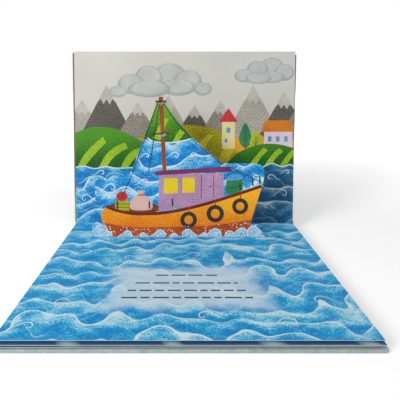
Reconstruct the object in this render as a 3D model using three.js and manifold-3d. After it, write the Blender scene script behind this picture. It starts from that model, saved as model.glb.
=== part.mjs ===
// Pop-up picture book, opened past a right angle: one half lies flat, the other stands up behind it.
// Millimetres. +Z is up, X runs along the fold, +Y points from the reader to the standing half.
// The origin is the middle of the lying cover's underside.
import * as THREE from 'three';
import { mergeVertices } from 'three/addons/utils/BufferGeometryUtils.js';
import Module from 'manifold-3d';

const wasm = await Module();
wasm.setup();

// Driving sizes
const PAGE_WIDTH = 270; // along the fold
const PAGE_DEPTH = 210; // from the fold to the opposite edge
const LEAN = 15.8; // degrees that the standing half leans back from upright
const BOARD = 3; // thickness of a cover board
const OVERHANG = 3; // cover board beyond the leaves on three sides
const JOINT = 8; // from the fold to the near edge of a board
const CORNER = 2.2; // corner radius of the boards
const LEAF = 0.6; // two sheets of card glued back to back
const ENDPAPER = 0.4;
const ENDPAPER_MARGIN = 4.5; // board left bare round an endpaper
const GLUE = 0.3; // clear of the next piece where two are glued
const SPINE_WIDTH = 17;
const SPINE_THICK = 2.2;
const WRAP = 0.8; // two thicknesses of the cover wrap with its lining
const LEAF_PITCH_LYING = 2.1; // from leaf to leaf
const LEAF_PITCH_STANDING = 2.3;
const GUTTER = 3; // depth of the closed folds at the fold side
const FOLDED_INSET = 15; // folded pop-ups stay this far inside the leaf edges
const CARD_FORWARD = 44; // boat card in front of the fold
const CARD = 0.5; // thickness of the boat card
const CARD_LENGTH = 198; // boat card from foam tip to foam tip
const STRUT = 0.4;
const STRUT_WIDTH = 12;
const STRUT_FLAP = 10;
const STRUT_HEIGHT = 45; // up the boat card
const STRUT_SIDE = 64; // struts to each side of the card's middle
const TAB_DEPTH = 12;
const TAB_SIDE = 74;

// Each leaf: how far it stands out at its free edge, how far it slipped sideways, and its skew in degrees
const LYING_LEAVES = [
  { out: 0, slip: 0, skew: 0 },
  { out: 2.2, slip: 0.4, skew: 0 },
  { out: 1.2, slip: 0.6, skew: 0.25 },
];
const STANDING_LEAVES = [
  { out: 0, slip: 0, skew: 0 },
  { out: -0.6, slip: -2.6, skew: 0 },
  { out: -0.8, slip: 0.8, skew: 0.55 },
  { out: 0, slip: 0.2, skew: 0 },
];

// Derived places
const lean = THREE.MathUtils.degToRad(LEAN);
const stackLying = LEAF_PITCH_LYING * (LYING_LEAVES.length - 1) + LEAF;
const stackStanding = LEAF_PITCH_STANDING * (STANDING_LEAVES.length - 1) + LEAF;
const blockFloor = BOARD + GLUE + ENDPAPER + GLUE;
const boardDepth = PAGE_DEPTH + OVERHANG - JOINT;
const boardWidth = PAGE_WIDTH + 2 * OVERHANG;
const fold = { y: boardDepth / 2 + JOINT, z: blockFloor + stackLying };
const endpaperStart = stackStanding + GLUE;
const coverStart = endpaperStart + ENDPAPER + GLUE;

// Frames: a lying piece uses x, distance from the fold and height. A standing piece uses x, distance
// up from the fold and distance behind the open page.
const lyingFrame = new THREE.Matrix4().makeBasis(
  new THREE.Vector3(-1, 0, 0),
  new THREE.Vector3(0, -1, 0),
  new THREE.Vector3(0, 0, 1),
);
lyingFrame.setPosition(0, fold.y, 0);
const standingFrame = new THREE.Matrix4().makeBasis(
  new THREE.Vector3(-1, 0, 0),
  new THREE.Vector3(0, Math.sin(lean), Math.cos(lean)),
  new THREE.Vector3(0, Math.cos(lean), -Math.sin(lean)),
);
standingFrame.setPosition(0, fold.y, fold.z);

function standingPoint(up, behind) {
  return new THREE.Vector2(
    fold.y + up * Math.sin(lean) + behind * Math.cos(lean),
    fold.z + up * Math.cos(lean) - behind * Math.sin(lean),
  );
}

// A rectangle with rounded corners, from x0,y0 to x1,y1
function roundedRectangle(x0, y0, x1, y1, radius) {
  const shape = new THREE.Shape();
  shape.moveTo(x0 + radius, y0);
  shape.lineTo(x1 - radius, y0);
  shape.absarc(x1 - radius, y0 + radius, radius, -Math.PI / 2, 0, false);
  shape.lineTo(x1, y1 - radius);
  shape.absarc(x1 - radius, y1 - radius, radius, 0, Math.PI / 2, false);
  shape.lineTo(x0 + radius, y1);
  shape.absarc(x0 + radius, y1 - radius, radius, Math.PI / 2, Math.PI, false);
  shape.lineTo(x0, y0 + radius);
  shape.absarc(x0 + radius, y0 + radius, radius, Math.PI, 1.5 * Math.PI, false);
  return shape;
}

// A sheet or board: the shape drawn on the frame's first two axes, from z0 to z1 on the third
function sheet(shape, z0, z1, frame, edge = 0) {
  const geometry = new THREE.ExtrudeGeometry(shape, {
    depth: z1 - z0 - 2 * edge,
    bevelEnabled: edge > 0,
    bevelThickness: edge,
    bevelSize: edge,
    bevelOffset: -edge,
    bevelSegments: 3,
    curveSegments: 4,
    steps: 1,
  });
  geometry.translate(0, 0, z0 + edge);
  geometry.applyMatrix4(frame);
  return geometry;
}

// A section drawn in y and z, run along x from x0 to x1
function alongFold(points, x0, x1) {
  const geometry = new THREE.ExtrudeGeometry(new THREE.Shape(points), {
    depth: x1 - x0,
    bevelEnabled: false,
  });
  const frame = new THREE.Matrix4().makeBasis(
    new THREE.Vector3(0, 1, 0),
    new THREE.Vector3(0, 0, 1),
    new THREE.Vector3(1, 0, 0),
  );
  frame.setPosition(x0, 0, 0);
  geometry.applyMatrix4(frame);
  return geometry;
}

function toSolid(geometry) {
  const bare = geometry.clone();
  bare.deleteAttribute('normal');
  bare.deleteAttribute('uv');
  const joined = mergeVertices(bare, 1e-4);
  return new wasm.Manifold(new wasm.Mesh({
    numProp: 3,
    vertProperties: new Float32Array(joined.attributes.position.array),
    triVerts: new Uint32Array(joined.index.array),
  }));
}

function toGeometry(solid) {
  const mesh = solid.getMesh();
  const geometry = new THREE.BufferGeometry();
  geometry.setAttribute('position', new THREE.BufferAttribute(new Float32Array(mesh.vertProperties), 3));
  geometry.setIndex(new THREE.BufferAttribute(new Uint32Array(mesh.triVerts), 1));
  geometry.computeVertexNormals();
  return geometry;
}

function joined(geometries) {
  let solid = toSolid(geometries[0]);
  for (const geometry of geometries.slice(1)) {
    solid = solid.add(toSolid(geometry));
  }
  return toGeometry(solid);
}

function piece(name, geometry, colour, roughness) {
  const material = new THREE.MeshStandardMaterial({ color: colour, roughness, metalness: 0 });
  const mesh = new THREE.Mesh(geometry, material);
  mesh.name = name;
  return mesh;
}

// Cover boards with rounded corners and softened edges
function board(frame, z0, name) {
  const half = boardWidth / 2;
  const shape = roundedRectangle(-half, JOINT, half, JOINT + boardDepth, CORNER);
  return piece(name, sheet(shape, z0, z0 + BOARD, frame, 0.7), 0xb0bec0, 0.6);
}

function endpaper(frame, z0, name) {
  const half = boardWidth / 2 - ENDPAPER_MARGIN;
  const near = JOINT + 1.5;
  const far = JOINT + boardDepth - ENDPAPER_MARGIN;
  const shape = roundedRectangle(-half, near, half, far, 0.4);
  return piece(name, sheet(shape, z0, z0 + ENDPAPER, frame), 0x8fb4c4, 0.7);
}

// The spine spans the bisector of the two covers, just clear of the standing block. A strip of the wrap
// runs from it under the joint to the lying cover.
function spine() {
  const rise = (Math.PI / 2 - lean) / 2;
  const along = new THREE.Vector2(Math.cos(rise), Math.sin(rise));
  const out = new THREE.Vector2(Math.sin(rise), -Math.cos(rise));
  const start = new THREE.Vector2(fold.y + 0.4, 1.3);
  const end = start.clone().addScaledVector(along, SPINE_WIDTH);
  const h = SPINE_THICK / 2;
  const cut = 0.5;
  const corner = (base, a, b) => base.clone().addScaledVector(along, a).addScaledVector(out, b);
  const section = [
    corner(start, 0, -h + cut),
    corner(start, 0, h - cut),
    corner(start, cut, h),
    corner(end, -cut, h),
    corner(end, 0, h - cut),
    corner(end, 0, -h + cut),
    corner(end, -cut, -h),
    corner(start, cut, -h),
  ];
  const strip = [
    new THREE.Vector2(fold.y - JOINT + GLUE, 0.4),
    new THREE.Vector2(fold.y + 0.9, 0.55),
    new THREE.Vector2(fold.y + 0.9, 0.55 + WRAP),
    new THREE.Vector2(fold.y - JOINT + GLUE, 0.4 + WRAP),
  ];
  const half = boardWidth / 2;
  const solids = [alongFold(section, -half, half), alongFold(strip, -half + 0.5, half - 0.5)];
  return piece('spine', joined(solids), 0xb0bec0, 0.6);
}

// The pages: leaves joined at closed folds, with the folded pop-ups of the other openings between them
function leafStack(frame, leaves, pitch, top, sign, nearAt) {
  const half = PAGE_WIDTH / 2;
  const solids = [];
  leaves.forEach((leaf, index) => {
    const z = top + sign * (index * pitch + LEAF);
    const shape = new THREE.Shape([
      new THREE.Vector2(-half, nearAt(index)),
      new THREE.Vector2(half, nearAt(index)),
      new THREE.Vector2(half, PAGE_DEPTH + leaf.out),
      new THREE.Vector2(-half, PAGE_DEPTH + leaf.out),
    ]);
    const low = Math.min(z, z - sign * LEAF);
    const turned = new THREE.Matrix4().makeRotationZ(THREE.MathUtils.degToRad(leaf.skew));
    turned.setPosition(-leaf.slip, 0, 0);
    solids.push(sheet(shape, low, low + LEAF, frame.clone().multiply(turned)));
    if (index > 0) {
      const gapLow = Math.min(z - sign * LEAF, z - sign * pitch) - 0.1;
      const gapHigh = Math.max(z - sign * LEAF, z - sign * pitch) + 0.1;
      const folded = roundedRectangle(
        -half + FOLDED_INSET + 3 * index,
        nearAt(index) + 1,
        half - FOLDED_INSET - 2 * index,
        PAGE_DEPTH - FOLDED_INSET - 4 * index,
        6,
      );
      solids.push(sheet(folded, gapLow, gapHigh, frame));
    }
  });
  return solids;
}

// The closed folds of a half: full width, a few millimetres deep
function foldRun(frame, from, z0, z1) {
  const half = PAGE_WIDTH / 2 - 0.2;
  const shape = new THREE.Shape([
    new THREE.Vector2(-half, from),
    new THREE.Vector2(half, from),
    new THREE.Vector2(half, from + GUTTER),
    new THREE.Vector2(-half, from + GUTTER),
  ]);
  return sheet(shape, z0, z1, frame);
}

function pages() {
  const half = PAGE_WIDTH / 2 - 0.4;
  // The rear leaves start higher, because the spine board rises behind them
  const standingNear = (index) => 0.5 + 0.8 * index;
  const lyingNear = () => 0;
  const lying = leafStack(lyingFrame, LYING_LEAVES, LEAF_PITCH_LYING, fold.z, -1, lyingNear);
  const standing = leafStack(standingFrame, STANDING_LEAVES, LEAF_PITCH_STANDING, 0, 1, standingNear);
  const folds = [foldRun(lyingFrame, 0.1, blockFloor + 0.05, fold.z - 0.05)];
  for (let index = 1; index < STANDING_LEAVES.length; index += 1) {
    const back = LEAF + index * LEAF_PITCH_STANDING;
    folds.push(foldRun(standingFrame, standingNear(index) + 0.1, 0.05, back - 0.05));
  }
  // The open sheet's crease, which is all that joins the two halves
  const crease = alongFold([
    new THREE.Vector2(fold.y - 0.02, fold.z - 0.05),
    standingPoint(1.5, 0.05),
    standingPoint(1.5, 1.4),
    standingPoint(0.2, 1.4),
    new THREE.Vector2(fold.y - 0.02, fold.z - 1.6),
    new THREE.Vector2(fold.y - 1.5, fold.z - 1.6),
    new THREE.Vector2(fold.y - 1.5, fold.z - 0.05),
  ], -half, half);
  return piece('pages', joined([...lying, ...standing, ...folds, crease]), 0x2f8fc8, 0.55);
}

// Outline of the die-cut boat card: x along the fold, then height up the card. It is drawn 198 units long.
const OUTLINE_LENGTH = 198;

function boatOutline() {
  const foot = 0.5;
  const shape = new THREE.Shape();
  shape.moveTo(-101, foot);
  shape.splineThru([
    new THREE.Vector2(-105, 5),
    new THREE.Vector2(-105.5, 12),
    new THREE.Vector2(-101, 17.5),
    new THREE.Vector2(-95.5, 16),
    new THREE.Vector2(-92.5, 12.5),
  ]);
  // Stern, then the sea behind the boat
  shape.lineTo(-95, 22);
  shape.lineTo(-94.5, 27);
  shape.lineTo(-90, 36);
  shape.splineThru([
    new THREE.Vector2(-95, 39.5),
    new THREE.Vector2(-100.5, 43),
    new THREE.Vector2(-101.5, 52),
    new THREE.Vector2(-101, 62),
    new THREE.Vector2(-97, 67),
  ]);
  shape.splineThru([
    new THREE.Vector2(-90, 65),
    new THREE.Vector2(-83, 69),
    new THREE.Vector2(-76, 71.5),
    new THREE.Vector2(-68, 70),
    new THREE.Vector2(-60, 75),
  ]);
  // Aft stay up to the masthead
  shape.lineTo(-32, 149.5);
  shape.lineTo(-33, 151);
  shape.lineTo(-33, 153.5);
  shape.lineTo(-29.5, 153.5);
  shape.lineTo(-29.5, 157.5);
  shape.lineTo(-24.5, 157.5);
  shape.lineTo(-24.5, 153.5);
  shape.lineTo(-21, 153.5);
  shape.lineTo(-21, 151);
  shape.lineTo(-22, 149.5);
  // Fore stay, then the sea ahead of the cabin
  shape.quadraticCurveTo(0, 114, 42, 84);
  shape.lineTo(78, 84);
  shape.splineThru([
    new THREE.Vector2(84, 82.5),
    new THREE.Vector2(88, 78.5),
    new THREE.Vector2(88.8, 72),
    new THREE.Vector2(88, 64),
    new THREE.Vector2(86.5, 58.5),
  ]);
  // Stem, then the foam at the bow
  shape.lineTo(83, 47);
  shape.lineTo(76, 24);
  shape.lineTo(74, 15.5);
  shape.splineThru([
    new THREE.Vector2(79, 14.5),
    new THREE.Vector2(84, 13.5),
    new THREE.Vector2(86, 9),
    new THREE.Vector2(88, 4),
    new THREE.Vector2(92, foot),
  ]);
  shape.lineTo(-101, foot);
  return shape;
}

// Frame of the boat card: parallel to the standing page, its printed side towards the reader
const cardFrame = new THREE.Matrix4().makeBasis(
  new THREE.Vector3(1, 0, 0),
  new THREE.Vector3(0, Math.sin(lean), Math.cos(lean)),
  new THREE.Vector3(0, -Math.cos(lean), Math.sin(lean)),
);
cardFrame.setPosition(0, fold.y - CARD_FORWARD, fold.z);

function boatCard() {
  const grown = CARD_LENGTH / OUTLINE_LENGTH;
  const size = new THREE.Matrix4().makeScale(grown, grown, 1);
  const card = sheet(boatOutline(), -CARD, 0, cardFrame.clone().multiply(size));
  const footY = fold.y - CARD_FORWARD;
  const tab = alongFold([
    new THREE.Vector2(footY + 0.35, fold.z + GLUE),
    new THREE.Vector2(footY + TAB_DEPTH, fold.z + GLUE),
    new THREE.Vector2(footY + TAB_DEPTH, fold.z + GLUE + CARD),
    new THREE.Vector2(footY + 0.55, fold.z + GLUE + CARD),
  ], -TAB_SIDE, TAB_SIDE);
  return piece('boat_card', joined([card, tab]), 0xd98a35, 0.55);
}

// A strut: one strip, folded down to a glued flap against the boat card and another against the page
function strut(name, x) {
  const rise = Math.cos(lean);
  const shift = Math.sin(lean);
  const height = STRUT_HEIGHT;
  const onCard = (up, behind) => new THREE.Vector2(
    fold.y - CARD_FORWARD + up * shift + behind * rise,
    fold.z + up * rise - behind * shift,
  );
  const cardSide = CARD + GLUE;
  const pageSide = -GLUE;
  const top = STRUT / rise;
  const section = [
    onCard(height - STRUT_FLAP, cardSide),
    onCard(height - STRUT_FLAP, cardSide + STRUT),
    onCard(height - top + (cardSide + STRUT) * Math.tan(lean), cardSide + STRUT),
    standingPoint(height - top + (pageSide - STRUT) * Math.tan(lean), pageSide - STRUT),
    standingPoint(height - STRUT_FLAP, pageSide - STRUT),
    standingPoint(height - STRUT_FLAP, pageSide),
    standingPoint(height + pageSide * Math.tan(lean), pageSide),
    onCard(height + cardSide * Math.tan(lean), cardSide),
  ];
  const strip = alongFold(section, x - STRUT_WIDTH / 2, x + STRUT_WIDTH / 2);
  return piece(name, strip, 0xe8e6df, 0.8);
}

const book = new THREE.Group();
book.name = 'popup_book';

const lyingHalf = new THREE.Group();
lyingHalf.name = 'lying_half';
lyingHalf.add(board(lyingFrame, 0, 'back_cover'));
lyingHalf.add(endpaper(lyingFrame, BOARD + GLUE, 'back_endpaper'));
lyingHalf.add(spine());
book.add(lyingHalf);

const standingCover = new THREE.Group();
standingCover.name = 'standing_cover';
standingCover.add(board(standingFrame, coverStart, 'front_cover'));
standingCover.add(endpaper(standingFrame, endpaperStart, 'front_endpaper'));
book.add(standingCover);

const inside = new THREE.Group();
inside.name = 'inside';
inside.add(pages());
inside.add(boatCard());
inside.add(strut('left_strut', -STRUT_SIDE));
inside.add(strut('right_strut', STRUT_SIDE));
book.add(inside);

export default book;
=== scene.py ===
import math
import random

import bpy
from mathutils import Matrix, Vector
from mathutils.geometry import delaunay_2d_cdt


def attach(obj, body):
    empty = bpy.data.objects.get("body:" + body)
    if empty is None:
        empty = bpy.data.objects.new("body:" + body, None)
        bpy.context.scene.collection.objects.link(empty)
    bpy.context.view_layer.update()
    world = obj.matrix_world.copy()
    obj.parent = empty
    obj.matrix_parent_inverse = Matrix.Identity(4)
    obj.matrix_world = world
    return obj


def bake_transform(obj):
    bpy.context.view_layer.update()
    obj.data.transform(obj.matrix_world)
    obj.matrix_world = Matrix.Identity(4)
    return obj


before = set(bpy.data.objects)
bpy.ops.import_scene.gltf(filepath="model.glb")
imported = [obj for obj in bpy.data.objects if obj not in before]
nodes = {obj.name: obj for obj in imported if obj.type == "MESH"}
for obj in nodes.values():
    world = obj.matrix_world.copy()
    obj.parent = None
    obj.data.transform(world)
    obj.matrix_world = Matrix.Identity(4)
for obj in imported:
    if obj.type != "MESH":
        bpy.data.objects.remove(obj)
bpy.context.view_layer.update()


# Covers and spine: three greyboards wrapped in one sheet of pale grey-blue printed paper.
# The wrap is glued on and turned in round the edges, and it has a faint fibre and sheen.
# The outside is plain, because the photo doesn't show it.
def linear(r, g, b):
    """A colour as it looks on screen, 0 to 255, as the shader wants it."""
    parts = [c / 12.92 if c <= 0.04045 else ((c + 0.055) / 1.055) ** 2.4 for c in (r / 255, g / 255, b / 255)]
    return (*parts, 1.0)


def new_material(name, values):
    """A material, its node tree and its shader, with the values set on the shader's own sockets."""
    made = bpy.data.materials.new(name)
    made.use_nodes = True
    shader = made.node_tree.nodes["Principled BSDF"]
    for socket, value in values.items():
        shader.inputs[socket].default_value = value
    return made, made.node_tree, shader


def node(tree, kind, inputs, **settings):
    """Add a node. settings are its own properties, and each input gets a value or a link."""
    made = tree.nodes.new(kind)
    for key, value in settings.items():
        setattr(made, key, value)
    for key, value in inputs.items():
        if isinstance(value, bpy.types.NodeSocket):
            tree.links.new(value, made.inputs[key])
        else:
            made.inputs[key].default_value = value
    return made


def two_tones(tree, value, dark, light, dark_at, light_at):
    """A colour that runs from dark to light as the value rises."""
    made = node(tree, "ShaderNodeValToRGB", {"Fac": value})
    for element, place, tone in zip(made.color_ramp.elements, (dark_at, light_at), (dark, light)):
        element.position = place
        element.color = linear(*tone)
    return made.outputs["Color"]


def paper(name, roughness, scale, detail, dark, light, dark_at=0.3, light_at=0.7, bump=0.0, bump_depth=0.0003):
    """Paper or card whose fibres tint it and, with bump, roughen it."""
    made, tree, shader = new_material(name, {"Roughness": roughness})
    place = tree.nodes.new("ShaderNodeTexCoord").outputs["Object"]
    fibres = node(tree, "ShaderNodeTexNoise", {"Vector": place, "Scale": scale, "Detail": detail}).outputs["Fac"]
    tree.links.new(two_tones(tree, fibres, dark, light, dark_at, light_at), shader.inputs["Base Color"])
    if bump:
        weave = node(tree, "ShaderNodeBump", {"Height": fibres, "Strength": bump, "Distance": bump_depth})
        tree.links.new(weave.outputs["Normal"], shader.inputs["Normal"])
    return made


def dress(names, material):
    """Give these CAD nodes the material, in place of their own."""
    for name in names:
        nodes[name].data.materials.clear()
        nodes[name].data.materials.append(material)


cover_paper = paper("cover_paper", roughness=0.55, scale=260, detail=3, bump=0.12,
                    dark=(150, 168, 170), light=(178, 192, 191))
dress(("back_cover", "front_cover", "spine"), cover_paper)


# Joint strip: the part of the wrap that bends from the spine to the front cover.
# It is the same paper, glued to the spine at one edge and to the front cover at the other.
def put_in_scene(name, data):
    """An object for the data, at the origin."""
    thing = bpy.data.objects.new(name, data)
    bpy.context.scene.collection.objects.link(thing)
    return thing


strip_half = 0.1375
outside = [(0.1247, 0.0100), (0.1256, 0.0113), (0.1258, 0.0128), (0.1255, 0.0146), (0.1256, 0.0162)]
inside = [(0.1240, 0.0117), (0.1247, 0.0120), (0.1250, 0.0129), (0.1248, 0.0144), (0.1250, 0.0163)]
section = outside + inside[::-1]
count = len(section)
verts = [(x, y, z) for x in (-strip_half, strip_half) for y, z in section]
faces = [(i, (i + 1) % count, (i + 1) % count + count, i + count) for i in range(count)]
faces += [tuple(reversed(range(count))), tuple(range(count, 2 * count))]
mesh = bpy.data.meshes.new("joint_strip")
mesh.from_pydata(verts, [], faces)
mesh.materials.append(cover_paper)
joint_strip = put_in_scene("joint_strip", mesh)
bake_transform(joint_strip)

# Endpapers: two sheets of pale blue mottled paper.
# Each is pasted flat on the inside of its cover and hides the turned-in wrap.
end_paper = paper("endpaper_print", roughness=0.75, scale=60, detail=5,
                  dark=(128, 170, 196), light=(160, 196, 212), dark_at=0.35)
dress(("back_endpaper", "front_endpaper"), end_paper)

# Struts and boat card: plain white card, cut and creased.
# Each strut's flaps are glued to the standing page and to the back of the boat card,
# and the boat card's foot tab is glued to the lying page.
white_card = paper("plain_card", roughness=0.8, scale=420, detail=4, bump=0.15, bump_depth=0.0002,
                   dark=(222, 219, 209), light=(238, 236, 229))
dress(("left_strut", "right_strut", "boat_card"), white_card)


# Page block: the stack of stiff card leaves, cream at their cut edges and printed on their faces.
# The leaves are folded sheets glued back to back, so they are one block that creases at the fold.
# Slivers of other spreads show past the open one: navy sea in front and right, brown and green left.
def calculate(tree, kind, *values):
    """The result of a Math node."""
    return node(tree, "ShaderNodeMath", dict(enumerate(values)), operation=kind).outputs["Value"]


def mixed(tree, share, first, second):
    """The first colour where share is 0 and the second where it is 1."""
    return node(tree, "ShaderNodeMix", {0: share, 6: first, 7: second}, data_type="RGBA").outputs[2]


fold_y, fold_z = 0.1105, 0.0088
lean = math.radians(15.8)
up = Vector((0, math.sin(lean), math.cos(lean)))
out_of_page = Vector((0, -math.cos(lean), math.sin(lean)))
left_sliver_x = -0.1349
lying_top_z = 0.0095
brown_from, brown_full = 0.040, 0.046
faces_along = 0.99
block, tree, shader = new_material("page_block", {"Roughness": 0.55})
place = tree.nodes.new("ShaderNodeTexCoord").outputs["Object"]
split = node(tree, "ShaderNodeSeparateXYZ", {"Vector": place}).outputs
streaks = node(tree, "ShaderNodeTexWave", {"Vector": place, "Scale": 9, "Distortion": 3, "Detail": 2},
               bands_direction="DIAGONAL")
stands = calculate(tree, "GREATER_THAN", split["Z"], lying_top_z)
# The standing leaves show a deeper navy than the lying ones
navy = two_tones(tree, streaks.outputs["Fac"], (12, 82, 140), (136, 180, 206), dark_at=0.8, light_at=1.0)
navy = mixed(tree, stands, navy, linear(6, 50, 86))
band = node(tree, "ShaderNodeMapRange", {"Value": split["Z"], "From Min": brown_from, "From Max": brown_full})
left_tint = mixed(tree, band.outputs["Result"], linear(120, 165, 60), linear(120, 88, 74))
is_left = calculate(tree, "LESS_THAN", split["X"], left_sliver_x)
printed = mixed(tree, calculate(tree, "MULTIPLY", is_left, stands), navy, left_tint)
# A leaf's face looks along z or along the standing page's normal; every other direction is a cut edge
normal = tree.nodes.new("ShaderNodeNewGeometry").outputs["Normal"]
lying_face, standing_face = (
    node(tree, "ShaderNodeVectorMath", {0: normal, 1: way}, operation="DOT_PRODUCT").outputs["Value"]
    for way in ((0, 0, 1), out_of_page)
)
is_face = calculate(tree, "GREATER_THAN", calculate(tree, "MAXIMUM", lying_face, standing_face), faces_along)
tree.links.new(mixed(tree, is_face, linear(188, 188, 178), printed), shader.inputs["Base Color"])
dress(["pages"], block)


# Open spread: the printed face of the two pages that lie open, creased at the fold.
# It is one coated sheet, printed in many inks and glued on the page block's cards.
# The lower page is sea with a pale field. The standing page has sky, peaks, hills and sea.
def coated_print(name):
    """A coated print: its material, tree, shader and flat coordinates in metres."""
    made, tree, shader = new_material(name, {"Specular IOR Level": 0.22})
    return made, tree, shader, node(tree, "ShaderNodeUVMap", {}, uv_map="flat").outputs["UV"]


def coat(tree, shader, grain):
    """The fine grain makes the coating glossier and duller from speck to speck."""
    gloss = node(tree, "ShaderNodeMapRange", {"Value": grain, "To Min": 0.36, "To Max": 0.62})
    tree.links.new(gloss.outputs["Result"], shader.inputs["Roughness"])


def ink(name, dark, light, grain=900, contrast=0.5, blotch=45, tilt=0.0, low=0.0, high=1.0):
    """A soft grained field of two tones. tilt shades it from light at low to dark at high."""
    made, tree, shader, flat = coated_print(name)
    fine = node(tree, "ShaderNodeTexNoise", {"Vector": flat, "Scale": grain, "Detail": 2, "Roughness": 0.7})
    broad = node(tree, "ShaderNodeTexNoise", {"Vector": flat, "Scale": blotch, "Detail": 3})
    coat(tree, shader, fine.outputs["Fac"])
    share = calculate(tree, "MULTIPLY", broad.outputs["Fac"], 1.0 - contrast)
    value = calculate(tree, "MULTIPLY_ADD", fine.outputs["Fac"], contrast, share)
    if tilt:
        height = node(tree, "ShaderNodeSeparateXYZ", {"Vector": flat}).outputs["Y"]
        ramp = node(tree, "ShaderNodeMapRange", {
            "Value": height, "From Min": low, "From Max": high, "To Min": tilt * 0.5, "To Max": -tilt * 0.5,
        })
        value = calculate(tree, "ADD", value, ramp.outputs["Result"])
    tones = two_tones(tree, value, dark, light, dark_at=0.36, light_at=0.64)
    tree.links.new(tones, shader.inputs["Base Color"])
    return made


def sea_ink(name, deep, mid, pale, spacing, sway, length, patch=False):
    """Rows of swaying pale wave lines, each fading softly into the blue below it."""
    made, tree, shader, flat = coated_print(name)
    parts = node(tree, "ShaderNodeSeparateXYZ", {"Vector": flat}).outputs

    def math_node(kind, *values):
        return calculate(tree, kind, *values)

    def noise(across, along, detail=1.0, offset=0.0):
        moved = node(tree, "ShaderNodeMapping", {
            "Vector": flat, "Scale": (across, along, 1), "Location": (offset, offset * 0.7, 0),
        })
        return node(tree, "ShaderNodeTexNoise", {"Vector": moved.outputs["Vector"], "Scale": 1, "Detail": detail},
                    noise_dimensions="2D").outputs["Fac"]

    def centred(value, size):
        """Noise about 0 instead of about a half."""
        return math_node("MULTIPLY", math_node("SUBTRACT", value, 0.5), size)

    def floored(value, gain, drop, least):
        """Only the peaks of the noise, and least elsewhere."""
        return math_node("MAXIMUM", math_node("MULTIPLY_ADD", value, gain, drop), least)

    def fade(value, start, end, strength=1.0):
        """strength up to start, falling softly to 0 at end."""
        return node(tree, "ShaderNodeMapRange", {
            "Value": value, "From Min": start, "From Max": end, "To Min": strength, "To Max": 0.0,
        }, interpolation_type="SMOOTHSTEP").outputs["Result"]

    def rows(step, reach, wave, offset):
        """Sawtooth from 0 just below a line to 1 at the next line down. The lines swing, ripple and drift."""
        full_turn = 6.283
        swing = math_node("SUBTRACT", noise(1 / wave, 0.9 / wave, 1.4, offset), 0.5)
        ripple = math_node("SINE", math_node("MULTIPLY_ADD", parts["X"], full_turn / (wave * 0.9), offset))
        moved = math_node("MULTIPLY_ADD", swing, reach * 2.6, parts["Y"])
        moved = math_node("MULTIPLY_ADD", ripple, reach * 0.28, moved)
        drift = math_node("SUBTRACT", noise(9, 14, 1.0, offset + 20), 0.5)
        moved = math_node("MULTIPLY_ADD", drift, step * 2.4, moved)
        return math_node("SUBTRACT", 1.0, math_node("FRACT", math_node("DIVIDE", moved, step)))

    # Crisp lines, the glow below each, fine grain, broad blotches and patches of froth
    coat(tree, shader, noise(900, 900))
    main = rows(spacing, sway, length, 3.1)
    second = rows(spacing * 0.62, sway * 0.8, length * 0.7, 11.7)
    strength = math_node("MINIMUM", floored(noise(24, 50, 2, 5.0), 3.2, -0.9, 0.12), 1.0)
    crisp = math_node("MULTIPLY", fade(main, 0.05, 0.14), strength)
    weaker = floored(noise(34, 50, 2, 9.0), 1.7, -0.78, 0.0)
    crisp2 = math_node("MULTIPLY", fade(second, 0.05, 0.1), weaker)
    glow = math_node("MULTIPLY", fade(main, 0.03, 0.75), 0.5)
    glow2 = math_node("MULTIPLY", fade(second, 0.04, 0.6), 0.14)
    grain = centred(noise(560, 560, 2.5, 1.0), 1.15)
    blotch = centred(noise(80, 130, 3, 2.0), 1.0)
    froth = floored(noise(17, 34, 2, 14.0), 2.2, -1.24, 0.0)
    depth = math_node("ADD", glow, math_node("ADD", glow2, froth))
    depth = math_node("ADD", math_node("ADD", depth, math_node("ADD", grain, blotch)), 0.06)
    body = node(tree, "ShaderNodeValToRGB", {"Fac": depth})
    tones = body.color_ramp.elements
    tones[0].position, tones[0].color = 0.0, linear(*deep)
    tones.new(0.34).color = linear(*mid)
    tones[-1].position, tones[-1].color = 0.95, linear(*pale)
    lines = math_node("MULTIPLY", math_node("MINIMUM", math_node("ADD", crisp, crisp2), 1.0), 0.85)
    result = mixed(tree, lines, body.outputs["Color"], linear(222, 234, 238))
    if patch:
        # The soft pale field under the four rows of bars
        half_width, half_height, below_fold = 0.069, 0.034, 0.143
        across = math_node("ABSOLUTE", math_node("DIVIDE", parts["X"], half_width))
        along = math_node("ADD", parts["Y"], below_fold)
        along = math_node("ABSOLUTE", math_node("DIVIDE", along, half_height))
        reach = math_node("ADD", math_node("MAXIMUM", across, along), centred(noise(55, 55, 3, 4.0), 0.5))
        result = mixed(tree, fade(reach, 0.72, 1.12, strength=0.8), result, linear(206, 226, 238))
    tree.links.new(result, shader.inputs["Base Color"])
    return made


def disc(x, y, rx, ry=None, steps=20):
    """A round or oval shape about x, y."""
    ry = rx if ry is None else ry
    turns = [2 * math.pi * i / steps for i in range(steps)]
    return [(x + rx * math.cos(a), y + ry * math.sin(a)) for a in turns]


def smooth(points, closed=False, steps=6):
    """A soft curve through the points."""
    n = len(points)
    out = []
    spans = n if closed else n - 1
    for i in range(spans):
        p1, p2 = points[i], points[(i + 1) % n]
        p0 = points[(i - 1) % n] if closed or i > 0 else p1
        p3 = points[(i + 2) % n] if closed or i + 2 < n else p2
        for k in range(steps):
            s = k / steps
            out.append(tuple(
                0.5 * (2 * p1[c] + (p2[c] - p0[c]) * s + (2 * p0[c] - 5 * p1[c] + 4 * p2[c] - p3[c]) * s * s
                       + (3 * p1[c] - p0[c] - 3 * p2[c] + p3[c]) * s ** 3)
                for c in (0, 1)
            ))
    if not closed:
        out.append(points[-1])
    return out


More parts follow.
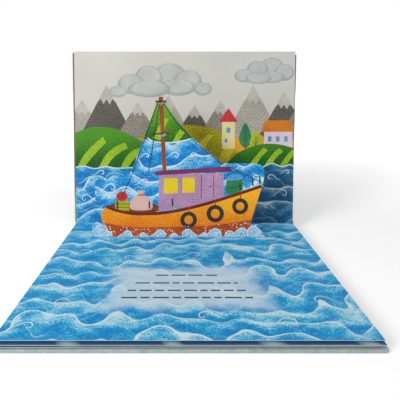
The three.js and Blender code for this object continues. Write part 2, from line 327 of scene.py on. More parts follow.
def stroke(points, width, taper=False):
    """A line drawn along the points, thinning towards its ends if tapered."""
    thinnest = 0.22
    left, right = [], []
    for i, (x, y) in enumerate(points):
        x0, y0 = points[max(i - 1, 0)]
        x1, y1 = points[min(i + 1, len(points) - 1)]
        length = math.hypot(x1 - x0, y1 - y0) or 1
        nx, ny = -(y1 - y0) / length, (x1 - x0) / length
        share = i / (len(points) - 1)
        w = width / 2 * (max(thinnest, math.sin(math.pi * share) ** 0.5) if taper else 1)
        left.append((x + nx * w, y + ny * w))
        right.append((x - nx * w, y - ny * w))
    return left + right[::-1]


def curl(x, y, size, flip=1):
    """A wave crest's rim: a long back that hooks over into a curl."""
    path = [(-1.6, -0.35), (-1.0, -0.1), (-0.45, 0.4), (0.05, 0.62), (0.5, 0.42), (0.62, 0.05), (0.42, -0.2),
            (0.15, -0.1), (0.2, 0.12)]
    return smooth([(x + flip * size * a, y + size * b) for a, b in path], steps=5)


def block_shape(x0, y0, x1, y1):
    """An upright oblong between two corners."""
    return [(x0, y0), (x1, y0), (x1, y1), (x0, y1)]


per_metre = 1000  # prints are drawn in millimetres
merge_within, least_area, at_fold = 1e-4, 1e-7, 1e-4


def print_sheet(name, outlines, shapes, place, height, back):
    """A thin closed sheet. outlines bound it, and each later shape is inked over the earlier ones.

    place puts a flat point on the book, with the sheet's front and back that far off its face.
    """
    points, rings, inks = [], [], []
    for ring, material in outlines + shapes:
        area = sum(a[0] * b[1] - b[0] * a[1] for a, b in zip(ring, ring[1:] + ring[:1]))
        ring = ring if area > 0 else ring[::-1]
        rings.append(list(range(len(points), len(points) + len(ring))))
        points += [Vector(p) for p in ring]
        inks.append(material)
    flat, _, tris, _, _, origin = delaunay_2d_cdt(points, [], rings, 1, merge_within, True)
    used = []
    for tri, sources in zip(tris, origin):
        if any(s < len(outlines) for s in sources):
            a, b, c = (flat[k] for k in tri)
            if abs((b - a).cross(c - a)) > least_area:
                used.append((tuple(tri), max(sources)))
    keep = sorted({k for tri, _ in used for k in tri})
    index = {k: i for i, k in enumerate(keep)}
    front = [place(flat[k].x, flat[k].y, height) for k in keep]
    behind = [place(flat[k].x, flat[k].y, back) for k in keep]
    n = len(keep)
    faces, which, materials, directed_edges = [], [], [], {}
    for tri, source in used:
        a, b, c = (index[k] for k in tri)
        if inks[source] not in materials:
            materials.append(inks[source])
        faces.append((a, b, c))
        which.append(materials.index(inks[source]))
        directed_edges.update(dict.fromkeys(((a, b), (b, c), (c, a))))
    materials.append(white_card)
    for tri in list(faces):
        faces.append((tri[2] + n, tri[1] + n, tri[0] + n))
        which.append(len(materials) - 1)
    for a, b in directed_edges:
        if (b, a) not in directed_edges:
            faces.append((b, a, a + n, b + n))
            which.append(len(materials) - 1)
    made = bpy.data.meshes.new(name)
    made.from_pydata(front + behind, [], faces)
    for m in materials:
        made.materials.append(m)
    made.polygons.foreach_set("material_index", which)
    layer = made.uv_layers.new(name="flat")
    coordinates = [(flat[k].x / per_metre, flat[k].y / per_metre) for k in keep] * 2
    for loop in made.loops:
        layer.data[loop.index].uv = coordinates[loop.vertex_index]
    made.update()
    return put_in_scene(name, made)


def draw(shape, paint):
    """Ink one more shape over the earlier ones."""
    shapes.append((shape, paint))


def draw_rim(rim, width):
    """A pale line of foam, thinning towards its ends."""
    draw(stroke(rim, width, True), foam_line)


def within(x, edge):
    """x, held between the two edges."""
    return max(-edge, min(edge, x))


sea_near = sea_ink("sea_near", (8, 132, 198), (46, 173, 220), (192, 229, 238), 0.0235, 0.0125, 0.036, patch=True)
sea_far = sea_ink("sea_far", (4, 108, 178), (24, 150, 208), (164, 214, 228), 0.0245, 0.0135, 0.044)
# A darker sea ink, for the painted shadow of the boat card to the right of the boat
sea_painted_shadow = sea_ink("sea_painted_shadow", (6, 70, 112), (24, 100, 142), (116, 160, 180), 0.0245, 0.0135, 0.044)
sky = ink("sky", (199, 196, 189), (211, 208, 201), grain=500, contrast=0.3, blotch=12)
cloud_edge = ink("cloud_edge", (146, 151, 150), (166, 170, 168), grain=500, contrast=0.4)
cloud = ink("cloud", (163, 167, 165), (182, 185, 182), grain=500, contrast=0.4)
cloud_rim = ink("cloud_rim", (178, 182, 179), (198, 200, 197), grain=500, contrast=0.4)
rock_dark = ink("rock_dark", (56, 54, 48), (112, 108, 98), grain=620, contrast=0.85)
rock_mid = ink("rock_mid", (98, 92, 84), (168, 158, 146), grain=620, contrast=0.85)
rock_pale = ink("rock_pale", (136, 130, 120), (192, 186, 174), grain=620, contrast=0.85)
snow = ink("snow", (162, 159, 150), (198, 194, 186), grain=620, contrast=0.5)
grass = ink("grass", (14, 84, 14), (74, 142, 28), grain=560, contrast=0.75, tilt=-0.4, low=0.070, high=0.116)
grass_high = ink("grass_high", (16, 92, 18), (104, 168, 34), grain=560, contrast=0.75, tilt=-0.35,
                 low=0.106, high=0.150)
grass_light = ink("grass_light", (96, 156, 24), (184, 204, 48), grain=560, contrast=0.8)
meadow = ink("meadow", (98, 102, 8), (196, 182, 32), grain=520, contrast=0.8, blotch=60)
meadow_light = ink("meadow_light", (168, 158, 14), (238, 220, 50), grain=520, contrast=0.8)
bush = ink("bush", (206, 130, 24), (236, 172, 44), grain=700)
leaf_green = ink("leaf_green", (26, 96, 66), (52, 140, 96), grain=700)
leaf_lime = ink("leaf_lime", (140, 160, 30), (188, 200, 60), grain=700)
bark = ink("bark", (58, 46, 34), (84, 66, 46), grain=700)
wall_pink = ink("wall_pink", (214, 188, 204), (228, 208, 218), grain=500)
wall_cream = ink("wall_cream", (218, 204, 142), (232, 218, 160), grain=500)
roof_orange = ink("roof_orange", (186, 98, 26), (216, 130, 40), grain=600)
roof_red = ink("roof_red", (176, 36, 48), (208, 62, 70), grain=600)
pane = ink("pane", (52, 130, 170), (90, 170, 205), grain=500)
foam_line = ink("foam_line", (190, 214, 222), (220, 232, 234), grain=500, contrast=0.4)
dash_ink = ink("dash_ink", (34, 46, 66), (52, 66, 88), grain=400)


def place_page(x, v, h):
    """The flat spread, creased at v = 0: below lies, above stands."""
    off_table = Vector((0, 0, 1))
    at = Vector((x, fold_y * per_metre, fold_z * per_metre))
    if abs(v) < at_fold:
        return (at + (off_table + out_of_page) * (h / (1 + off_table.dot(out_of_page)))) / per_metre
    if v < 0:
        return (at + Vector((0, v, 0)) + off_table * h) / per_metre
    return (at + up * v + out_of_page * h) / per_metre


page_half, page_height = 135, 210
print_front, print_back = 0.12, 0.02
shapes = []
shore = smooth([
    (-135, 70), (-124, 71.5), (-112, 68.5), (-98, 71), (-84, 69), (-60, 70), (-20, 72), (20, 73), (62, 71), (80, 73.5),
    (94, 69.5), (108, 75), (121, 70.5), (130, 73.5), (135, 71),
], steps=4)
draw([(-135, 60), (-135, 210), (135, 210), (135, 60)], sky)
# Two heaped clouds: each lobe is dark at its edge and paler towards its upper middle.
# Each lobe has its place from the cloud's middle and its half width and half height
for x, y, lobes in (
    (-30, 172, [(12, 9, 19, 15), (-14, 7, 17, 14), (34, 3, 17, 13), (-36, -1, 16, 12), (52, -7, 11, 8),
                (-52, -10, 11, 7), (22, -5, 22, 10), (-14, -7, 26, 10)]),
    (98, 184, [(9, 7, 14, 12), (-9, 4, 13, 11), (24, 1, 12, 10), (-25, -3, 12, 8), (8, -5, 16, 7), (-8, -6, 16, 7)]),
):
    for dx, dy, rx, ry in lobes:
        for share, rise, paint in ((1.0, 0.0, cloud_edge), (0.93, 0.06, cloud), (0.78, 0.16, cloud_rim)):
            draw(disc(x + dx, y + dy + rise * ry, rx * share, ry * share, 26), paint)
# Peaks with snow caps, cut off at the page's sides: middle x, summit height, half width, ink
foot = 84
for x, top, wide, paint in (
    (-126, 152, 44, rock_pale), (-96, 170, 46, rock_dark), (-58, 150, 40, rock_mid), (-20, 158, 42, rock_pale),
    (12, 146, 38, rock_dark), (44, 152, 40, rock_mid), (84, 170, 48, rock_pale), (122, 162, 44, rock_dark),
    (136, 138, 34, rock_mid),
):
    slope = (top - foot) / wide
    left, right = within(x - wide, page_half), within(x + wide, page_half)
    draw([(left, foot + slope * (left - x + wide)), (left, foot), (right, foot),
          (right, foot + slope * (x + wide - right)), (x, top)], paint)
    drop = 0.24 * (top - foot)
    reach = drop / slope
    teeth = [(x - reach, top - drop), (x - 0.62 * reach, top - 0.82 * drop), (x - 0.35 * reach, top - 1.12 * drop),
             (x, top - 0.85 * drop), (x + 0.34 * reach, top - 1.15 * drop), (x + 0.66 * reach, top - 0.84 * drop),
             (x + reach, top - drop)]
    if abs(x) < page_half:
        draw([(within(a, page_half - 0.1), b) for a, b in teeth] + [(x, top)], snow)
# Far meadow, then the village, then the nearer hills
ridge = smooth([(-70, 96), (-44, 112), (-8, 121), (26, 119), (58, 107), (84, 90), (98, 76)], steps=5)
draw([(-70, 66)] + ridge + [(98, 66)], meadow)
# Lanes over the meadow: the two feet, then the heights of each side's middle and top
for x0, x1, middle, top, far_top, far_middle in (
    (-30, -14, 104, 110, 109, 98), (4, 22, 104, 110, 109, 98), (40, 56, 96, 100, 97, 90),
):
    lane = smooth([(x0, 66), (x0 + 6, 88), (x0 + 18, middle), (x0 + 26, top)], steps=4)
    lane += smooth([(x1 + 14, far_top), (x1 + 6, far_middle), (x1 + 1, 84), (x1 - 2, 66)], steps=4)
    draw(lane, meadow_light)
for x, y, r in ((66, 97, 10), (77, 102, 11), (90, 101, 10), (101, 98, 10), (126, 99, 9)):
    draw(disc(x, y, r, r * 0.9, 18), bush)
# A round tower with a cone roof, and a long house
draw(block_shape(46, 92, 62, 126), wall_cream)
draw([(42.5, 125), (65.5, 125), (54, 142)], roof_red)
draw(disc(54, 115, 2.6, 3.8, 14), pane)
draw(disc(51, 102, 2.0, 2.8, 14), pane)
draw(block_shape(98, 84, 133, 114), wall_pink)
draw([(94, 113), (134.5, 113), (130, 127), (99, 127)], roof_orange)
for x in (105, 115, 125):
    draw(block_shape(x - 2.1, 101, x + 2.1, 107.5), pane)
for x, y, tall, paint in ((75, 104, 20, leaf_green), (88, 99, 16, leaf_lime)):
    draw(smooth([(x - 8, y), (x, y + tall), (x + 8, y), (x, y - 11)], closed=True, steps=4), paint)
    draw(stroke([(x, y - 16), (x, y + tall * 0.5)], 1.0), bark)
    draw(stroke([(x, y - 3), (x - 4, y + 3)], 0.7), bark)
    draw(stroke([(x, y - 1), (x + 4, y + 5)], 0.7), bark)
left_hill = smooth([(-135, 112), (-112, 119), (-84, 116), (-56, 103), (-34, 86), (-20, 68)], steps=5)
draw([(-135, 66)] + left_hill + [(-20, 66)], grass)
for i in range(4):
    a = -134 + 27 * i
    stripe = smooth([(a, 68), (a + 9, 84), (a + 20, 96 - 2 * i), (a + 33, 107 - 7 * i)], steps=4)
    stripe += smooth([(a + 37, 100 - 7 * i), (a + 26, 89 - 2 * i), (a + 17, 79), (a + 9, 68)], steps=4)
    draw(stripe, grass_light)
right_hill = smooth([(48, 70), (66, 87), (90, 97), (114, 98), (135, 93)], steps=5)
draw(right_hill + [(135, 66), (48, 66)], grass)
for i in range(3):
    a = 78 + 19 * i
    stripe = smooth([(a, 68), (a + 6, 78), (a + 14, 88), (a + 20, 94 - i)], steps=4)
    stripe += smooth([(a + 25, 90 - i), (a + 17, 82), (a + 12, 75), (a + 8, 68)], steps=4)
    draw(stripe, grass_light)
# The printed shapes stop just inside the page's sides
print_half = page_half - 0.01
shapes = [([(within(x, print_half), y) for x, y in ring], paint) for ring, paint in shapes]
coast = [(within(x, print_half), y) for x, y in shore]
draw([(-print_half, 0.01)] + coast + [(print_half, 0.01)], sea_far)
# Painted shadow: the sea to the right of the boat is printed darker, as if in the boat card's cast shadow
painted_shadow_edge = smooth([(82, 70), (88, 56), (79, 42), (87, 26), (80, 12), (84, 0.02)], steps=5)
draw([(134.98, 0.02)] + [(x, y - 0.05) for x, y in reversed(coast) if x >= 84] + painted_shadow_edge, sea_painted_shadow)
draw(stroke([(within(x, 134.4), y - 0.7) for x, y in shore], 1.3), foam_line)
# Curling crests: place, size, and 1 or -1 for the side they hook to
for x, y, size, flip in (
    (-118, 52, 9, 1), (-122, 30, 9, -1), (-98, 20, 7, 1), (108, 56, 7, -1), (121, 36, 9, 1), (104, 20, 6, -1),
    (126, 63, 5, 1), (-104, 62, 6, 1),
):
    draw_rim([(within(a, page_half - 1), b) for a, b in curl(x, y, size, flip)], 1.0)
# Thin wave rims on the lying page, clear of the pale field
for x, y, size, flip in (
    (-112, -34, 10, 1), (-64, -22, 8, -1), (-20, -44, 9, 1), (34, -30, 8, 1), (88, -38, 10, -1), (118, -66, 8, -1),
    (-104, -80, 10, 1), (-56, -92, 8, -1), (8, -86, 9, 1), (66, -96, 9, -1), (104, -112, 9, 1), (-112, -128, 10, 1),
    (-100, -168, 10, -1), (-48, -190, 10, 1), (14, -184, 9, -1), (74, -192, 10, 1), (110, -164, 10, -1),
    (-118, -196, 8, 1),
):
    draw_rim(curl(x, y, size, flip), 0.9)
# Four centred rows of plain dark bars: height, left end and right end
random.seed(5)
bar_width, gap, least_room, shortest, longest = 1.9, 2.8, 3, 6, 15
for v, left, right in ((-125, -28, 28), (-138, -45, 45), (-149.5, -50, 50), (-160, -54, 54)):
    x = left
    while x < right - least_room:
        end = min(right, x + random.uniform(shortest, longest))
        draw(stroke([(x, v), (end, v)], bar_width), dash_ink)
        x = end + gap
outlines = [
    (block_shape(-page_half, -page_height, page_half, 0), sea_near),
    (block_shape(-page_half, 0, page_half, page_height), sky),
]
spread = print_sheet("open_spread", outlines, shapes, place_page, print_front, print_back)
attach(spread, "book")

# Boat print: the printed face of the die-cut boat card, with foam along its foot.
# The ink lies on the card's front, and the die cuts card and print together.
# It shows a plain little work boat: orange hull, lilac cabin, one mast, cargo fore and aft.
sea_card = sea_ink("sea_card", (6, 112, 188), (30, 154, 212), (176, 218, 232), 0.0240, 0.0135, 0.042)
hull = ink("hull", (226, 110, 14), (255, 184, 40), grain=640, contrast=0.7, tilt=-0.28, low=0.010, high=0.052)
hull_foot = ink("hull_foot", (146, 48, 18), (196, 92, 34), grain=750, contrast=0.65)
rail = ink("rail", (86, 22, 10), (122, 44, 22), grain=700)
deck = ink("deck", (96, 48, 20), (138, 78, 36), grain=600, blotch=90)
cabin = ink("cabin", (146, 102, 142), (206, 166, 198), grain=700, contrast=0.75)
cabin_roof = ink("cabin_roof", (92, 34, 78), (132, 64, 112), grain=600)
window_yellow = ink("window_yellow", (224, 188, 18), (240, 210, 40), grain=500)
mast = ink("mast", (120, 50, 22), (168, 88, 44), grain=600)
rope = ink("rope", (34, 40, 46), (56, 60, 66), grain=500)
tyre = ink("tyre", (28, 30, 28), (56, 58, 54), grain=700)
cord_red = ink("cord_red", (190, 24, 22), (220, 44, 36), grain=500)
cloth_blue = ink("cloth_blue", (62, 140, 196), (120, 184, 222), grain=500)
crate_lime = ink("crate_lime", (140, 148, 16), (176, 182, 30), grain=500)
sack_pink = ink("sack_pink", (206, 156, 150), (230, 190, 180), grain=600, contrast=0.7)
barrel_green = ink("barrel_green", (34, 110, 62), (58, 146, 86), grain=500)
foam_body = ink("foam_body", (78, 156, 204), (190, 218, 230), grain=500, contrast=0.5, blotch=150)
foam_white = ink("foam_white", (226, 236, 240), (244, 248, 250), grain=400)

card_off_fold = 0.044
card_foot = Vector((0, (fold_y - card_off_fold) * per_metre, fold_z * per_metre))
card_print_front = 0.1


def place_card(x, v, h):
    """The flat boat card, standing parallel to the page from its foot at v = 0."""
    return (card_foot + Vector((x, 0, 0)) + up * v + out_of_page * h) / per_metre


# The card's own outline, read from the front face of its solid: the edges that only one triangle has, in order
card_mesh = nodes["boat_card"].data
directed = {}
for polygon in card_mesh.polygons:
    middle = polygon.center * per_metre - card_foot
    if polygon.normal.dot(out_of_page) > 0.999 and abs(middle.dot(out_of_page)) < 0.05:
        ids = [tuple(round(c, 6) for c in card_mesh.vertices[i].co) for i in polygon.vertices]
        directed.update(dict.fromkeys(zip(ids, ids[1:] + ids[:1])))
following = {a: b for a, b in directed if (b, a) not in directed}
start = next(iter(following))
loop, here = [start], following[start]
while here != start:
    loop.append(here)
    here = following[here]
card_outline = []
for point in loop:
    offset = Vector(point) * per_metre - card_foot
    card_outline.append((offset.x, offset.dot(up)))

shapes = []
# Wave rims on the sea behind the boat
for x, y, size, flip in (
    (-84, 56, 8, 1), (-66, 50, 7, -1), (-88, 46, 5, 1), (62, 78, 5, 1), (80, 68, 5, -1), (-46, 62, 7, 1),
):
    draw_rim(curl(x, y, size, flip), 1.2)
# Inside the rigging: hill above, sea below
draw([(-50, 112), (-34, 108), (-16, 107), (2, 110), (14, 112), (-26, 156), (-30, 156)], grass_high)
for lower, upper in (
    ([(-36, 112), (-30, 124), (-24, 134)], [(-18, 134), (-24, 120), (-28, 109)]),
    ([(-14, 108), (-10, 116), (-6, 122)], [(0, 118), (-5, 112), (-7, 108)]),
):
    draw(smooth(lower, steps=4) + smooth(upper, steps=4), grass_light)
draw(stroke(smooth([(-42, 112), (-34, 108), (-16, 107), (2, 110), (10, 113)], steps=4), 1.5), foam_line)
for x, y, size, flip in ((-12, 92, 7, 1), (10, 92, 6, -1), (-44, 92, 5, 1)):
    draw_rim(curl(x, y, size, flip), 1.1)
# Mast with two cross-trees and their ties
draw([(-24.6, 60), (-20.2, 60), (-24.6, 157.6), (-29.4, 157.6)], mast)
draw(block_shape(-33, 151.2, -21, 153.4), rail)
draw(stroke([(-38, 116.5), (-14, 117.5)], 1.8), rail)
draw(stroke([(-28.6, 149), (-24.2, 151.2)], 1.8), cloth_blue)
draw(stroke([(-28, 113.6), (-21.6, 116.4)], 2.2), cloth_blue)
# Deck in the stern, rail round it
draw(disc(-58, 33.5, 31, 6.6, 30), rail)
draw(disc(-57, 33.3, 28.5, 4.8, 30), deck)
# Cargo aft, in a low row: a crate with a float on it, and a sack
draw(block_shape(-79, 31, -63, 42), crate_lime)
for y in (34.6, 38.4):
    draw(stroke([(-79, y), (-63, y)], 0.7), deck)
draw(disc(-71, 47, 6.4, 5.4, 24), cord_red)
draw(disc(-71, 47, 2.6, 2.2, 16), deck)
sack = [(-60, 32), (-62, 40), (-57, 46), (-51.5, 48.5), (-54, 53), (-45, 53), (-47.5, 48.5), (-41, 46), (-37, 40),
        (-39, 32)]
draw(smooth(sack, closed=True, steps=4), sack_pink)
draw(stroke([(-52.4, 48.6), (-46.8, 48.6)], 1.5), cord_red)
# Cabin with two windows and a door
draw([(-30, 30), (44, 42), (43, 73), (-29, 72)], cabin)
roof = [(-33, 71), (-31, 75.5), (10, 78), (46, 80.5), (51, 78), (50, 74.6), (10, 73), (-30, 70.6)]
draw(smooth(roof, closed=True, steps=4), cabin_roof)
draw([(-24, 50), (-8, 50.6), (-8.4, 67.6), (-23.6, 67.2)], window_yellow)
draw([(-3, 51), (11, 51.6), (10.6, 68.2), (-3.2, 67.8)], window_yellow)
draw(stroke([(18, 44), (18.4, 71)], 0.8), cabin_roof)
draw(stroke([(32, 46), (32, 71)], 0.8), cabin_roof)
draw(disc(28.4, 58, 1.0, 1.0, 10), cabin_roof)
# Cargo forward: a green cask with a blue cover
draw(smooth([(48, 49), (46, 58), (48, 66), (62, 68), (65, 60), (63, 53)], closed=True, steps=4), barrel_green)
draw(smooth([(46, 66), (50, 71), (60, 72), (65, 68), (60, 65.6), (50, 64.6)], closed=True, steps=4), cloth_blue)
draw(stroke([(47, 56), (64, 59)], 0.9), rope)
# Hull, its darker foot and its rail
sheer = [(-89, 35.5), (-80, 31.5), (-66, 28), (-48, 26.6), (-20, 28.5), (14, 35.5), (50, 46), (86.5, 58.3)]
bow_and_foot = [(80, 37), (73, 10), (70, 0.6), (-84, 0.6), (-90, 10)]
draw([(-95, 24), (-93.5, 30)] + smooth(sheer, steps=4) + bow_and_foot, hull)
water_line = smooth([(-90.5, 17), (-60, 12.4), (-20, 12.4), (20, 13.6), (50, 16.5), (75.5, 21)], steps=4)
draw(water_line + [(70, 0.6), (-84, 0.6)], hull_foot)
rail_line = [(-89, 36), (-80, 32), (-66, 28.6), (-48, 27.2), (-20, 29), (14, 36), (50, 46.6), (86, 58.6)]
draw(stroke(smooth(rail_line, steps=5), 3.4), rail)
# Stanchions: foot of each
for x, y in ((-76, 33), (-40, 33), (-14, 36), (62, 54), (76, 58.5), (84, 61)):
    draw(stroke([(x, y), (x - 0.4, y + 8.5)], 1.8), rope)
# Round fenders on red cords: middle and radius
for x, y, r in ((4, 20.5, 9.4), (34, 27.5, 9.8), (62, 35.8, 9.0)):
    draw(stroke([(x + 0.5, y + r + 5), (x, y + r - 1)], 1.2), cord_red)
    draw(disc(x, y, r, r, 28), tyre)
    draw(disc(x, y, r * 0.52, r * 0.54, 20), hull)
    arc = [(x + r * 0.78 * math.cos(a / 10), y + r * 0.78 * math.sin(a / 10)) for a in range(4, 20, 2)]
    draw(stroke(arc, 0.6, True), rope)
# Foam curls along the foot, each a pale-rimmed heap with a tail, and a thin broken foam line below them.
# Each heap has its middle, its radius, and 1 or -1 for the side it leans to
heaps = (
    (-96, 8, 7.4, 1), (-88, 3, 5.0, 1), (-66, 3.2, 5.2, 1), (-47, 2.2, 3.8, -1), (-29, 3.6, 6.0, 1), (-12, 2, 3.6, -1),
    (4, 3.6, 6.6, -1), (21, 2.2, 4.0, 1), (33, 4.0, 7.0, 1), (51, 3.0, 5.4, -1), (63, 4.6, 7.2, 1), (78, 7.0, 6.8, -1),
    (84, 3, 4.4, 1),
)
for x, y, r, lean_side in heaps:
    tail = smooth([(x - lean_side * r * 2.3, 0.7), (x - lean_side * r * 1.1, y + 0.1 * r), (x, y + 0.92 * r),
                   (x + lean_side * r * 0.9, y + 0.55 * r), (x + lean_side * r * 1.05, y - 0.2 * r),
                   (x + lean_side * r * 0.5, 0.7)], steps=4)
    draw(tail, foam_body)
    draw_rim(tail, 1.2)
    inner = curl(x + lean_side * 0.1 * r, y + 0.05 * r, r * 0.5, lean_side)
    draw_rim([(a, max(1.2, b)) for a, b in inner], 0.8)
for x0, x1 in ((-103, -72), (-74, -44), (-50, -16), (-22, 10), (2, 30), (26, 58), (52, 90)):
    ripple = smooth([(x0, 0.7), ((2 * x0 + x1) / 3, 2.6), ((x0 + 2 * x1) / 3, 1.6), (x1, 0.7)], steps=4)
    draw(ripple, foam_body)
boat_print = print_sheet("boat_print", [(card_outline, sea_card)], shapes, place_card, card_print_front, print_back)
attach(boat_print, "book")


# Stays: dark dashes printed on the boat card along the rigging lines.
# One short dash is repeated at an even pitch along each line, flat on the card.
def geometry_tree(name, given, sizes, result):
    """A node tree with one geometry in, named sizes and one geometry out. Returns it and its inputs."""
    tree = bpy.data.node_groups.new(name, "GeometryNodeTree")
    tree.interface.new_socket(given, in_out="INPUT", socket_type="NodeSocketGeometry")
    for label, value in sizes:
        socket = tree.interface.new_socket(label, in_out="INPUT", socket_type="NodeSocketFloat")
        socket.default_value = value
    tree.interface.new_socket(result, in_out="OUTPUT", socket_type="NodeSocketGeometry")
    return tree, tree.nodes.new("NodeGroupInput").outputs


def end_tree(tree, instances, material, result):
    """Make the instances real, ink them and hand them out."""
    real = node(tree, "GeometryNodeRealizeInstances", {"Geometry": instances})
    inked = node(tree, "GeometryNodeSetMaterial", {"Geometry": real.outputs["Geometry"], "Material": material})
    node(tree, "NodeGroupOutput", {result: inked.outputs["Geometry"]})


def made_by_nodes(carrier, tree_used, name):
    """The mesh that a node tree makes on carrier, as a plain object with the card's flat coordinates."""
    step = carrier.modifiers.new("nodes", "NODES")
    step.node_group = tree_used
    bpy.context.view_layer.update()
    plain = bpy.data.meshes.new_from_object(carrier.evaluated_get(bpy.context.evaluated_depsgraph_get()))
    carrier.modifiers.remove(step)
    bpy.data.objects.remove(carrier)
    plain.name = name
    layer = plain.uv_layers.get("flat") or plain.uv_layers.new(name="flat")
    for loop in plain.loops:
        point = plain.vertices[loop.vertex_index].co
        layer.data[loop.index].uv = point.x, (point - card_foot / per_metre).dot(up)
    return put_in_scene(name, plain)


relief = 0.13  # millimetres from the card's face to the middle of the dashes and dots
# The fore stay sags along a curve with these three control points
fore_controls = (-23, 148.5), (-1, 113.3), (41.5, 83.6)
fore = []
fore_steps = 24
for t in [i / fore_steps for i in range(fore_steps + 1)]:
    fore.append(tuple((1 - t) ** 2 * a + 2 * t * (1 - t) * b + t * t * c for a, b, c in zip(*fore_controls)))
lines = [[(-58, 76), (-31.2, 149)], [(-41, 74), (-29, 148)], [(-71, 46), (-57.6, 76)], fore, [(52, 79), (83, 64)]]
verts, edges = [], []
for line_points in lines:
    first = len(verts)
    verts += [place_card(x, v, relief) for x, v in line_points]
    edges += [(first + i, first + i + 1) for i in range(len(line_points) - 1)]
mesh = bpy.data.meshes.new("stay_lines")
mesh.from_pydata(verts, edges, [])
stay_lines = put_in_scene("stay_lines", mesh)

dash_sizes = ("Pitch", 0.0034), ("Dash length", 0.0027), ("Dash width", 0.0012), ("Dash height", 0.00008)
dash_tree, given = geometry_tree("stay_dashes", "Lines", dash_sizes, "Dashes")
to_curve = node(dash_tree, "GeometryNodeMeshToCurve", {"Mesh": given["Lines"]})
spaced = node(dash_tree, "GeometryNodeCurveToPoints", {
    "Curve": to_curve.outputs["Curve"], "Length": given["Pitch"],
}, mode="LENGTH")
box_size = node(dash_tree, "ShaderNodeCombineXYZ", {
    "X": given["Dash length"], "Y": given["Dash width"], "Z": given["Dash height"],
})
dash = node(dash_tree, "GeometryNodeMeshCube", {"Size": box_size.outputs["Vector"]})
along = node(dash_tree, "FunctionNodeAlignRotationToVector", {"Vector": spaced.outputs["Tangent"]}, axis="X")
upright = node(dash_tree, "FunctionNodeAlignRotationToVector", {
    "Rotation": along.outputs["Rotation"], "Vector": out_of_page,
}, axis="Z", pivot_axis="X")
placed = node(dash_tree, "GeometryNodeInstanceOnPoints", {
    "Points": spaced.outputs["Points"], "Instance": dash.outputs["Mesh"], "Rotation": upright.outputs["Rotation"],
})
end_tree(dash_tree, placed.outputs["Instances"], rope, "Dashes")
stays = made_by_nodes(stay_lines, dash_tree, "stay_dashes")
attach(stays, "book")

# Spray: pale dots printed on the boat card over the foam and the hull's foot.
# Small flat dots of uneven size are scattered over a band along the card's foot.
band_corners = [(-98, 1.5), (84, 1.5), (80, 19), (60, 17), (0, 13), (-60, 13), (-95, 17)]
mesh = bpy.data.meshes.new("spray_band")
mesh.from_pydata([place_card(x, v, relief) for x, v in band_corners], [], [tuple(range(len(band_corners)))])
spray_band = put_in_scene("spray_band", mesh)

dot_sizes = ("Density", 46000.0), ("Clearance", 0.0019), ("Dot radius", 0.00058), ("Dot height", 0.00008)
scatter_seed, size_seed, dot_sides = 4, 9, 8
smallest, largest = 0.6, 1.45
spray_tree, given = geometry_tree("spray_dots", "Band", dot_sizes, "Dots")
scatter = node(spray_tree, "GeometryNodeDistributePointsOnFaces", {
    "Mesh": given["Band"], "Density Max": given["Density"], "Distance Min": given["Clearance"], "Seed": scatter_seed,
}, distribute_method="POISSON")
dot = node(spray_tree, "GeometryNodeMeshCylinder", {
    "Vertices": dot_sides, "Radius": given["Dot radius"], "Depth": given["Dot height"],
})
scale = node(spray_tree, "FunctionNodeRandomValue", {2: smallest, 3: largest, "Seed": size_seed}, data_type="FLOAT")
flatten = node(spray_tree, "FunctionNodeAlignRotationToVector", {"Vector": out_of_page}, axis="Z")
placed = node(spray_tree, "GeometryNodeInstanceOnPoints", {
    "Points": scatter.outputs["Points"], "Instance": dot.outputs["Mesh"],
    "Rotation": flatten.outputs["Rotation"], "Scale": scale.outputs[1],
})
end_tree(spray_tree, placed.outputs["Instances"], foam_white, "Dots")
spray = made_by_nodes(spray_band, spray_tree, "spray_dots")
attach(spray, "book")


# Floor: a white floor that keeps the book's soft shadow.
# Seen by the camera it brightens with its distance from the book, so that no horizon shows.
def seen(tree):
    """1 for what the camera, gloss or glass shows, and 0 for what only lights the book."""
    ray = tree.nodes.new("ShaderNodeLightPath").outputs
    shown = calculate(tree, "MAXIMUM", ray["Is Camera Ray"], ray["Is Glossy Ray"])
    return calculate(tree, "MAXIMUM", shown, ray["Is Transmission Ray"])


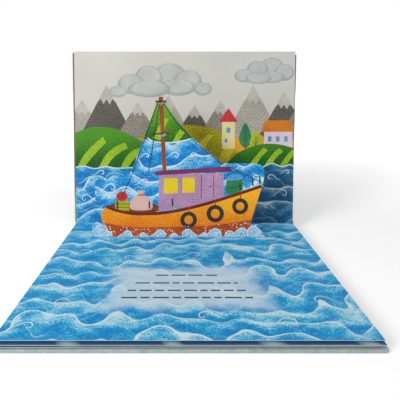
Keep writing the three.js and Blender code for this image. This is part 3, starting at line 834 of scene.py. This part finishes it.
floor_half, near, far = 6, 0.3, 1.2
dim, full = 0.28, 1.0
floor_mesh = bpy.data.meshes.new("floor")
corners = [(x, y, 0) for x, y in block_shape(-floor_half, -floor_half, floor_half, floor_half)]
floor_mesh.from_pydata(corners, [], [(0, 1, 2, 3)])
floor_mat, tree, shader = new_material("floor", {
    "Base Color": (0.93, 0.93, 0.93, 1), "Roughness": 0.9, "Specular IOR Level": 0.0, "Emission Color": (1, 1, 1, 1),
})
place = tree.nodes.new("ShaderNodeTexCoord").outputs["Object"]
distance = node(tree, "ShaderNodeVectorMath", {0: place}, operation="LENGTH").outputs["Value"]
away = node(tree, "ShaderNodeMapRange", {
    "Value": distance, "From Min": near, "From Max": far, "To Min": dim, "To Max": full,
})
lift = calculate(tree, "MULTIPLY", seen(tree), away.outputs["Result"])
tree.links.new(lift, shader.inputs["Emission Strength"])
floor_mesh.materials.append(floor_mat)
put_in_scene("floor", floor_mesh)

# Light: white surroundings, a soft lamp from the left front, a weak one from the right and a broad one above.
# Each lamp has its place, the point it aims at, its size in metres and its power in watts.
world = bpy.data.worlds.new("studio")
bpy.context.scene.world = world
world.use_nodes = True
background = world.node_tree.nodes["Background"]
background.inputs["Color"].default_value = (1, 1, 1, 1)
bright = node(world.node_tree, "ShaderNodeMapRange", {"Value": seen(world.node_tree), "To Min": dim, "To Max": full})
world.node_tree.links.new(bright.outputs["Result"], background.inputs["Strength"])
for name, at, aim, size, power in (
    ("key", (-1.05, -0.75, 0.62), (0, 0.08, 0.06), 0.5, 13),
    ("fill", (0.9, -1.0, 0.9), (0, 0.05, 0.05), 1.2, 0.8),
    ("top", (0, -0.2, 1.6), (0, 0.05, 0), 1.4, 7.2),
):
    lamp = bpy.data.lights.new(name, "AREA")
    lamp.size = size
    lamp.energy = power
    lamp_object = put_in_scene(name, lamp)
    lamp_object.location = at
    lamp_object.rotation_euler = (Vector(aim) - Vector(at)).to_track_quat("-Z", "Y").to_euler()

# Camera: fitted to the photo's own perspective, close to the book and looking down at it.
# The shift moves the book in the frame without turning the camera.
left_of_middle, from_fold, above_fold = 0.006, 0.4076, 0.1683
looks_down = 18.7
camera_data = bpy.data.cameras.new("camera")
camera_data.sensor_width = 36
camera_data.lens = 31.68
camera_data.shift_x = 0.0505
camera_data.clip_start = 0.01
camera = put_in_scene("camera", camera_data)
camera.location = (-left_of_middle, fold_y - from_fold, fold_z + above_fold)
camera.rotation_euler = (math.radians(90 - looks_down), 0, 0)
bpy.context.scene.camera = camera
bpy.context.scene.view_settings.view_transform = "Standard"
